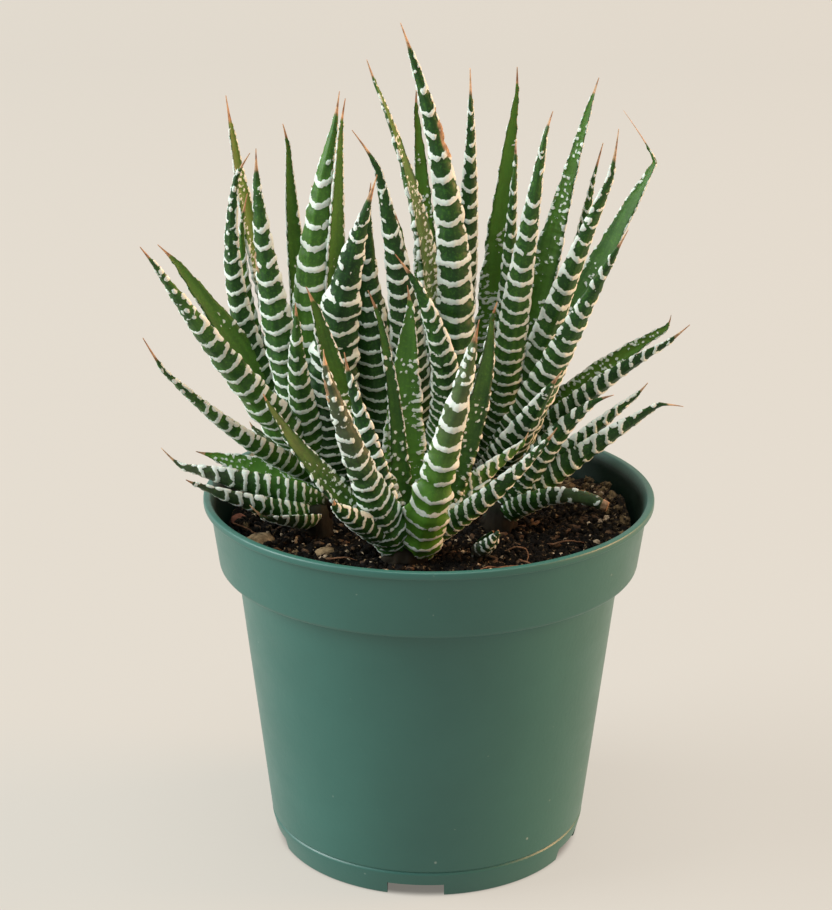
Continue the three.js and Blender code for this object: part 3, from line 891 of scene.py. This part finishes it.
def leaf_spine(crown, core_radius, row):
    """The three points that a leaf's curved spine is drawn from: foot, control and tip."""
    base = Vector((crown[0], crown[1], SOIL_TOP + SOIL_LUMP + GAP))
    tip = Vector(row[0:3])
    bulge = Vector(row[3:6])
    width, rise, facing = row[6:9]
    start = (tip - base) / 2 + bulge * 2
    inward, across = leaf_axes(start.normalized(), facing)
    side_drop = abs(across.z) * width / 2
    keel_drop = abs(inward.z) * width * LEAF_THICKNESS_RATIO
    outward = Vector(((tip.x - base.x) / 2 + bulge.x, (tip.y - base.y) / 2 + bulge.y, 0)).normalized()
    foot = base + outward * core_radius * FOOT_OFFSET_RATIO
    foot.z += side_drop + keel_drop + rise
    control = (foot + tip) / 2 + bulge * 2
    return foot, control, tip


def spine_length(spine, steps=12):
    places = [curve_point(*spine, k / steps) for k in range(steps + 1)]
    return sum((high - low).length for low, high in zip(places, places[1:]))


def leaf_section():
    """One leaf's section from edge round the outer face to the other edge and back inside.
    Each point is (part of the width, part of the thickness, 1 on the outer face)."""
    points = []
    for k in range(OUTER_STEPS + 1):
        u = math.cos(math.pi * k / OUTER_STEPS)
        keel = 0.10 * math.exp(-(u / 0.16) ** 2)
        points.append((0.5 * u, 0.90 * (1 - abs(u) ** 2.3) ** 0.7 + keel, 1.0))
    for k in range(1, INNER_STEPS):
        u = -1 + 2 * k / INNER_STEPS
        points.append((0.5 * u, 0.10 * (1 - u * u), 0.0))
    return points


def eased(t):
    """Goes from 0 to 1 with a gentle start and end."""
    return t * t * (3 - 2 * t)


def add_vert(shape, layers, place, numbers):
    """Adds a vertex that carries some of the leaf's numbers."""
    vert = shape.verts.new(place * MM)
    for key, value in numbers.items():
        vert[layers[key]] = value
    return vert


def add_leaf(shape, layers, crown, core_radius, row, order, traits, rng):
    """Adds one leaf to a head as a closed tube of rings round its curved spine."""
    spine = leaf_spine(crown, core_radius, row)
    width, facing, coat = row[6], row[8], row[9]
    dry_range, dotting, olive = COATS[coat]
    length = spine_length(spine)
    rings = max(FEWEST_RINGS, round(length / RING_SPACING))
    slim, twist = traits.get("slim", 0.0), traits.get("twist", 0.0)
    foot_length = FOOT_LENGTH * min(1.0, length / FULL_FOOT_FROM)
    pitch = traits.get("pitch", rng.uniform(0.75, 0.95))
    dry_length = traits.get("dry", rng.uniform(*dry_range) * min(1.0, length / FULL_TIP_FROM))
    drift = Vector((rng.uniform(-1, 1), rng.uniform(-1, 1), rng.uniform(-0.3, 0.6))) * THREAD_DRIFT
    if coat in ("cut", "bud"):
        drift *= 0
    curl = Vector(traits["thread"]) if "thread" in traits else drift
    tone = traits.get("tone", rng.random())
    scar_low, scar_high, scar_side = traits.get("scar", (2, 3, 0))
    wavy = BROAD_WAVE if coat == "olive" or width > BROAD_LEAF else NARROW_WAVE
    seed = order * SEED_STEP
    own_look = {"tone": tone, "dotting": dotting, "olive": olive, "seed": seed,
                "dust": traits.get("dust", 0.0), "dots_from": traits.get("dots_from", DOTS_FROM)}
    bands = rng.random()
    loops = []
    previous = spine[0]
    for i in range(-FOOT_RINGS, rings + 1):
        # the first few rings carry the leaf's foot down into the crown, where it narrows
        t = max(0, i) / rings
        below = max(0, -i) / FOOT_RINGS
        along = curve_way(*spine, t)
        centre = curve_point(*spine, t) - along * foot_length * below
        inward, across = leaf_axes(along, facing + twist * math.sin(math.pi * t))
        step = (centre - previous).length
        previous = centre
        # bands crowd together at the foot and spread out upwards
        spacing = LOWEST_BANDS + BANDS_SPREAD * min(1.0, t * 1.6)
        spacing = spacing * (0.6 + 0.4 * width / LEAF_FULL_WIDTH) * pitch
        if coat == "bud":
            spacing = BUD_BANDS
        bands += step / spacing
        # the tip dries to a thin thread that bends off the leaf's line
        from_tip = length * (1 - t)
        thread = eased(min(1.0, from_tip / dry_length))
        bend = 1 - min(1.0, from_tip / (dry_length * BEND_LENGTH_RATIO))
        centre = centre + curl * bend ** BEND_POWER
        taper = t * (CUT_AT if coat == "cut" else 1.0)
        full = width * (1 - taper) ** LEAF_TAPER_POWER * (1 + LEAF_BELLY * taper)
        full *= 1 - slim * math.sin(math.pi * t)
        from_end = length * t + foot_length * (1 - below)
        clasp = eased(min(1.0, from_end / CLASP_LENGTH * FOOT_LENGTH / foot_length))
        full *= CLASP_WIDTH + (1 - CLASP_WIDTH) * clasp
        full *= 1 + noise.noise(Vector((length * t * 0.36, seed, 1.0))) * wavy
        least = THREAD_POINT + (THREAD_WIDTH - THREAD_POINT) * min(1.0, from_tip / dry_length)
        if coat == "cut":
            ring_width = max(THREAD_WIDTH, full)
            least = THREAD_WIDTH
        else:
            ring_width = least + (max(least, full) - least) * (0.25 + 0.75 * thread)
        thick = max(least * 0.8, ring_width * LEAF_THICKNESS_RATIO)
        # the foot's lowest millimetres are darkened with earth and painted shade
        on_ring = {**own_look, "along": from_end, "bands": bands, "spacing": spacing, "reach": t,
                   "dry": 1 - thread, "earth_and_shade": max(0.0, 1 - from_end / EARTH_AND_SHADE_LENGTH)}
        loop = []
        for side, depth, outer in SECTION:
            sideways = side * ring_width
            scar = min(t - scar_low, scar_high - t) / (scar_high - scar_low) * 4
            scar += 1.5 * noise.noise(Vector((length * t * 0.8, sideways * 0.9, seed)))
            scar = max(0.0, min(1.0, scar)) * max(0.0, side * scar_side * 2) ** 2
            loop.append(add_vert(
                shape, layers, centre + across * sideways - inward * (depth * thick),
                {**on_ring, "across": sideways, "edge": abs(side) * 2, "outer": outer, "scar": scar},
            ))
        loops.append(loop)
    join_rings(shape, loops)
    shape.faces.new(list(reversed(loops[0])))
    shape.faces.new(loops[-1])


def add_stem(shape, layers, crown, core_radius):
    """Adds the scaly stem and crown that carry a head's leaves."""
    outline = [
        (0, SOIL_TOP - STEM_DEPTH),
        (core_radius * STEM_RADIUS_RATIO, SOIL_TOP - STEM_DEPTH),
        (core_radius, SOIL_TOP),
        (core_radius, SOIL_TOP + core_radius * CROWN_SHOULDER),
        (core_radius * CROWN_NECK_RADIUS_RATIO, SOIL_TOP + core_radius * CROWN_NECK),
        (0, SOIL_TOP + core_radius * CROWN_TOP),
    ]
    finer = [outline[0]]
    for (r0, z0), (r1, z1) in zip(outline, outline[1:]):
        for k in range(1, STEM_SPLITS + 1):
            finer.append((r0 + (r1 - r0) * k / STEM_SPLITS, z0 + (z1 - z0) * k / STEM_SPLITS))
    rings = []
    for r, z in finer:
        # the stem is darkened with earth and painted shade, a little less towards the crown
        earth_and_shade = max(0.7, min(1.0, 1.2 - (z - SOIL_TOP) / core_radius * 0.4))
        ring = []
        for k in range(1 if r == 0 else STEM_SIDES):
            turn = math.tau * k / STEM_SIDES
            x, y = math.cos(turn), math.sin(turn)
            scaly = STEM_SLIMMING + STEM_SCALES * noise.noise(Vector((4 * x, 4 * y, z * 0.9 + crown[0])))
            place = Vector((crown[0] + r * scaly * x, crown[1] + r * scaly * y, z))
            ring.append(add_vert(shape, layers, place, {
                "edge": 0.5, "outer": 0.5, "spacing": 3.0, "reach": 0.5, "earth_and_shade": earth_and_shade,
            }))
        rings.append(ring)
    join_rings(shape, rings)


def wart_tree():
    """Finds the white warts on each leaf and raises them: bands on the outer face, which break up
    into dots towards the tip, and small dots on the inner face and along the edges. The field it
    stores as "white" is in millimetres: above nought inside a wart, below nought between warts."""
    tree, given, result = new_geometry_tree("raised_warts", "Leaves", {
        "Band Share": 0.285, "Band Wobble": 0.5, "Band Sag": 1.5, "Dot Radius": 0.5, "Dot Spacing": 2.1,
        "Bead Radius": 0.72, "Wart Height": 0.00028, "Material": None,
    })

    def attribute(name):
        node = "GeometryNodeInputNamedAttribute"
        return add_node(tree, node, "Attribute", {"data_type": "FLOAT"}, Name=name)

    along, across, edge, bands, spacing, reach, outer, dry, seed = (
        attribute(name)
        for name in ("along", "across", "edge", "bands", "spacing", "reach", "outer", "dry", "seed")
    )

    def speckle(sideways, upwards, height=along):
        """Soft noise about nought, laid out across the leaf and along it."""
        return cloudy(combined(across * sideways, height * upwards, seed), 1.0, 1.0) - 0.5

    # bands hang down a little at the keel, wander from side to side, and vary in width
    wander = speckle(0.22, 0.16)
    shift = (wander * 2.4 + speckle(1.0, 0.5) * 2.0) * given["Band Wobble"]
    shift -= calc("POWER", edge, 2.1) * given["Band Sag"]
    place = bands + shift / spacing
    off_middle = calc("ABSOLUTE", calc("FRACT", place) - 0.5) * spacing
    share = given["Band Share"] * 0.5 + speckle(1.5, 0.9) * 0.16 + ranged(edge, 0.70, 0.95, 0.0, 0.04)
    band_field = share * spacing - off_middle

    # each band is broken at a place or two of its own, more often towards the tip
    breaking = speckle(0.45, 3.7, calc("FLOOR", place)) + ranged(reach, 0.45, 1.0, -0.10, 0.13)
    band_field -= ranged(breaking, 0.08, 0.16) * 0.9

    def dots(spread, radius, stretch, scatter):
        where = combined(across / spread + seed * 3.71, along / (spread * stretch) + seed, 0.0)
        return radius - cells(where, 1.0, scatter, "2D") * spread

    # from dots_from upwards the bands give way to dots
    outer_dots = dots(given["Dot Spacing"], given["Dot Radius"], 1.4, 0.55)
    broken_up = ranged(reach + wander * 0.4 - attribute("dots_from"), 0.0, 0.16)
    outer_field = calc("MAXIMUM", band_field - broken_up * 0.5, outer_dots - (0.6 - broken_up * 0.6))

    # the inner face is dotted here and there, the more thinly the plainer the leaf
    sparse = 1.0 - attribute("dotting")
    inner_dots = dots(1.15 + sparse * 1.5, 0.33 + sparse * 0.14, 1.25, 0.6)
    thinner = sparse * 0.17 + ranged(reach, 0.3, 0.9, -0.14, 0.14)
    inner_dots -= ranged(speckle(0.2, 0.09) + thinner, 0.02, 0.14) * 0.6

    # a row of bigger warts runs along each edge
    on_edge = combined(along / 2.4, seed + calc("SIGN", across), 0.0)
    beads = given["Bead Radius"] - cells(on_edge, 1.0, 0.4, "2D") * 1.6
    beads -= ranged(edge, 0.92, 0.72, 0.0, 0.9)

    # the dry tip and the foot have no warts
    field = outer_field * outer + calc("MAXIMUM", inner_dots, beads) * (1.0 - outer)
    field = calc("MAXIMUM", field, beads - ranged(reach, 0.2, 0.5, 0.5, 0.1))
    field -= ranged(dry, 0.04, 0.30) * 2.0
    field -= ranged(along, 2.0, 0.0) * 1.0

    stored = add_node(tree, "GeometryNodeStoreNamedAttribute", "Geometry",
                      {"data_type": "FLOAT", "domain": "POINT"},
                      Geometry=given["Leaves"], Name="white", Value=field)
    raised = push_out(stored, add_node(tree, "GeometryNodeInputNormal", "Normal"),
                      ranged(field, -0.25, 0.30) * given["Wart Height"])
    put(result.inputs["Leaves"], coated(made_real(raised), given["Material"]))
    return tree


def waxy_leaf(name):
    """Leaf skin: dark green outside, fresher green inside and at the foot, chalk-white warts, and
    dry straw-brown tips. Its patterns follow the numbers that each leaf carries."""
    material, shader, place = new_material(name, Specular_IOR_Level=0.23, Subsurface_Weight=0.06,
                                           Subsurface_Scale=0.002)

    def attribute(key):
        return carried(place.tree, key)

    def on_leaf(sideways, upwards):
        """Noise laid out in the leaf's own millimetres, across it and along it."""
        where = combined(attribute("across") * sideways, attribute("along") * upwards, attribute("seed"))
        return cloudy(where, 1.0, 1.0)

    reach, outer, tone, earth_and_shade = attribute("reach"), attribute("outer"), attribute("tone"), attribute("earth_and_shade")
    mottle = cloudy(place, 260.0, 6.0, 0.6)
    patches = cloudy(place, 45.0, 2.0, 0.6)
    shade = tone * 0.45 + mottle * 0.55 + (on_leaf(0.9, 0.06) * 0.45 - 0.20)

    # green outside and inside, with a darker rim round the inner face
    outside = ramp(shade, (0.2, (0.006, 0.029, 0.008)), (0.5, (0.019, 0.068, 0.013)),
                   (0.8, (0.056, 0.150, 0.020)))
    green_inside = ramp(shade, (0.2, (0.012, 0.052, 0.010)), (0.8, (0.062, 0.170, 0.024)))
    olive_inside = ramp(shade, (0.2, (0.040, 0.084, 0.008)), (0.5, (0.074, 0.155, 0.012)),
                        (0.8, (0.072, 0.205, 0.022)))
    inside = mix(attribute("olive") * ranged(patches, 0.25, 0.6, 0.6, 1.0), green_inside, olive_inside)
    inside = mix(ranged(attribute("edge"), 0.45, 1.0, 0.0, 0.6), inside, outside)
    skin = mix(outer, inside, outside)

    # fresh green low down and in fine flecks, and grey dust higher up
    fresh = ramp(shade, (0.25, (0.035, 0.140, 0.018)), (0.7, (0.095, 0.260, 0.022)))
    low = ranged(reach, 0.60, 0.05) * ranged(patches, 0.40, 0.62, 0.10, 1.0)
    skin = mix(low * (0.25 + tone * 0.7), skin, fresh)
    skin = mix(ranged(cloudy(place, 1500.0, 2.0, 0.6), 0.52, 0.66, 0.0, 0.36), skin, fresh)
    grey = ramp(mottle, (0.3, (0.050, 0.058, 0.034)), (0.7, (0.105, 0.108, 0.070)))
    skin = mix(attribute("dust") * ranged(reach, 0.30, 0.65, 0.0, 0.75) * outer, skin, grey)

    # white warts with knobbly edges
    white = attribute("white") + (on_leaf(1.3, 1.3) - 0.5) * 0.7
    chalk = ramp(mottle, (0.3, (0.49, 0.56, 0.50)), (0.7, (0.78, 0.86, 0.79)))
    skin = mix(ranged(white, -0.06, 0.06), skin, chalk)

    # dry tips and scars, and on the foot and the stem a near-black that is partly earth and partly painted
    # shade
    straw = ramp(cloudy(place, 500.0, 3.0, 0.6), (0.3, (0.12, 0.060, 0.028)), (0.7, (0.56, 0.37, 0.21)))
    dried = calc("MAXIMUM", attribute("dry"), attribute("scar") * 0.52)
    skin = mix(ranged(dried + mottle * 0.2, 0.24, 0.42), skin, straw)
    earth_and_shade_tint = ramp(mottle, (0.3, (0.004, 0.0035, 0.002)), (0.7, (0.022, 0.017, 0.009)))
    skin = mix(ranged(earth_and_shade + mottle * 0.3, 0.35, 0.95), skin, earth_and_shade_tint)
    feed(
        shader,
        Base_Color=skin,
        Roughness=calc("MAXIMUM", ranged(white, -0.08, 0.08, 0.42, 0.68), earth_and_shade),
        Normal=bump(cloudy(place, 1400.0, 3.0, 0.6), 0.25, 0.0002),
    )
    return material


SECTION = leaf_section()
grown_skin = waxy_leaf("waxy_leaf")
young_skin = waxy_leaf("young_waxy_leaf")
raised_warts = wart_tree()
GROWN_WARTS = {"Material": grown_skin}
YOUNG_WARTS = {"Material": young_skin, "Wart Height": 0.0001, "Band Share": 0.34, "Band Sag": 0.7,
               "Bead Radius": 0.15, "Dot Radius": 0.2}


def make_head(number, name, crown, core_radius, leaves, spirals):
    shape = bmesh.new()
    layers = {key: shape.verts.layers.float.new(key) for key in LEAF_NUMBERS}
    add_stem(shape, layers, crown, core_radius)
    rows = list(leaves)
    for spiral in spirals:
        rows += spiral_leaves(spiral, crown)
    rng = random.Random(FIRST_SEED + number)
    for order, row in enumerate(rows):
        traits = TRAITS[name].get(order, BACK_LEAF if order >= len(leaves) else {})
        add_leaf(shape, layers, crown, core_radius, row, order + number * ORDERS_PER_HEAD, traits, rng)
    bmesh.ops.recalc_face_normals(shape, faces=shape.faces)
    head = piece_from(shape, name + "_leaves")
    young = name == "rosette_pup"
    modifier = head.modifiers.new("raised_warts", "NODES")
    modifier.node_group = raised_warts
    set_tree_inputs(modifier, YOUNG_WARTS if young else GROWN_WARTS)
    apply_modifiers(head)
    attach(head, "root")
    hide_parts(name)


for number, head in enumerate(HEADS):
    make_head(number, *head)


# ---- Studio ------------------------------------------------------------------------------------
# Warm white paper that sweeps up into a backdrop, one broad soft light from the left, a warmer one
# from the right and a faint one overhead. The camera looks down on the pot from a little above.

CAMERA_PLACE = Vector((0.0, -0.509, 0.2718))
CAMERA_PITCH = 18.87
CAMERA_YAW = -0.35
CAMERA_ROLL = 0.22
FRAME_HEIGHT_PX = 910
FOCAL_PX = 2250
SENSOR = 36
PAPER_HALF_WIDTH = 4
PAPER_FRONT = -3.0
SWEEP_START = 1.2
SWEEP_RADIUS = 0.8
SWEEP_STEPS = 12
PAPER_TOP = 3.0
LIGHTS_AIM = Vector((0, 0, 0.1))
# name, place, size, power and colour
LIGHTS = [
    ("key_left", (-2.8, -0.3, 1.5), 2.4, 142, (0.98, 0.99, 1.0)),
    ("fill_right", (2.6, 0.3, 0.8), 1.6, 121, (1.0, 0.53, 0.26)),
    ("top", (0.2, -0.4, 3.2), 2.6, 64, (1.0, 0.97, 0.93)),
]


def paper_backdrop():
    """Warm paper that glows evenly, with a painted shadow only where the pot stands on it."""
    material, shader, place = new_material(
        "warm_paper", Base_Color=(0.12, 0.117, 0.108, 1), Roughness=0.95, Specular_IOR_Level=0.0,
        Emission_Color=(1.0, 0.945, 0.840, 1),
    )
    far = calc("LENGTH", place, kind="ShaderNodeVectorMath", output="Value")
    under_pot, beside_pot = (FOOT_RADIUS - 2) * MM, (FOOT_RADIUS + 1) * MM
    # painted shadow: the paper's glow drops from beside the pot to under it
    feed(shader, Emission_Strength=ranged(far, under_pot, beside_pot, 0.18, 0.55))
    return material


def make_floor():
    """A floor that sweeps up into a backdrop far behind the pot."""
    shape = bmesh.new()
    outline = [(PAPER_FRONT, 0.0), (SWEEP_START, 0.0)]
    for k in range(1, SWEEP_STEPS + 1):
        turn = math.radians(90 * k / SWEEP_STEPS)
        outline.append((SWEEP_START + SWEEP_RADIUS * math.sin(turn), SWEEP_RADIUS * (1 - math.cos(turn))))
    outline.append((SWEEP_START + SWEEP_RADIUS, PAPER_TOP))
    left = [shape.verts.new((-PAPER_HALF_WIDTH, y, z)) for y, z in outline]
    right = [shape.verts.new((PAPER_HALF_WIDTH, y, z)) for y, z in outline]
    for k in range(len(outline) - 1):
        shape.faces.new((left[k], right[k], right[k + 1], left[k + 1]))
    floor = piece_from(shape, "studio_floor", paper_backdrop())


def add_light(name, place, size, power, colour):
    lamp = bpy.data.lights.new(name, "AREA")
    lamp.shape = "DISK"
    lamp.size = size
    lamp.energy = power
    lamp.color = colour
    light = put_in_scene(name, lamp)
    light.location = place
    light.rotation_euler = (LIGHTS_AIM - Vector(place)).to_track_quat("-Z", "Y").to_euler()


def set_world():
    world = bpy.data.worlds.new("soft_room")
    world.use_nodes = True
    background = world.node_tree.nodes["Background"]
    feed(background, Color=(1.0, 0.98, 0.95, 1), Strength=0.34)
    bpy.context.scene.world = world


def add_camera():
    pitch, yaw, roll = (math.radians(a) for a in (CAMERA_PITCH, CAMERA_YAW, CAMERA_ROLL))
    forward = Vector((math.sin(yaw) * math.cos(pitch), math.cos(yaw) * math.cos(pitch), -math.sin(pitch)))
    right = Vector((math.cos(yaw), -math.sin(yaw), 0))
    up = right.cross(forward)
    rolled_right = right * math.cos(roll) + up * math.sin(roll)
    rolled_up = up * math.cos(roll) - right * math.sin(roll)
    lens = bpy.data.cameras.new("camera")
    lens.sensor_fit = "AUTO"
    lens.sensor_width = SENSOR
    lens.lens = FOCAL_PX / FRAME_HEIGHT_PX * SENSOR
    camera = put_in_scene("camera", lens)
    matrix = camera.matrix_world.copy()
    for row in range(3):
        matrix[row][0], matrix[row][1], matrix[row][2] = rolled_right[row], rolled_up[row], -forward[row]
        matrix[row][3] = CAMERA_PLACE[row]
    camera.matrix_world = matrix
    bpy.context.scene.camera = camera


make_floor()
for light in LIGHTS:
    add_light(*light)
set_world()
add_camera()
bpy.context.scene.view_settings.view_transform = "Standard"
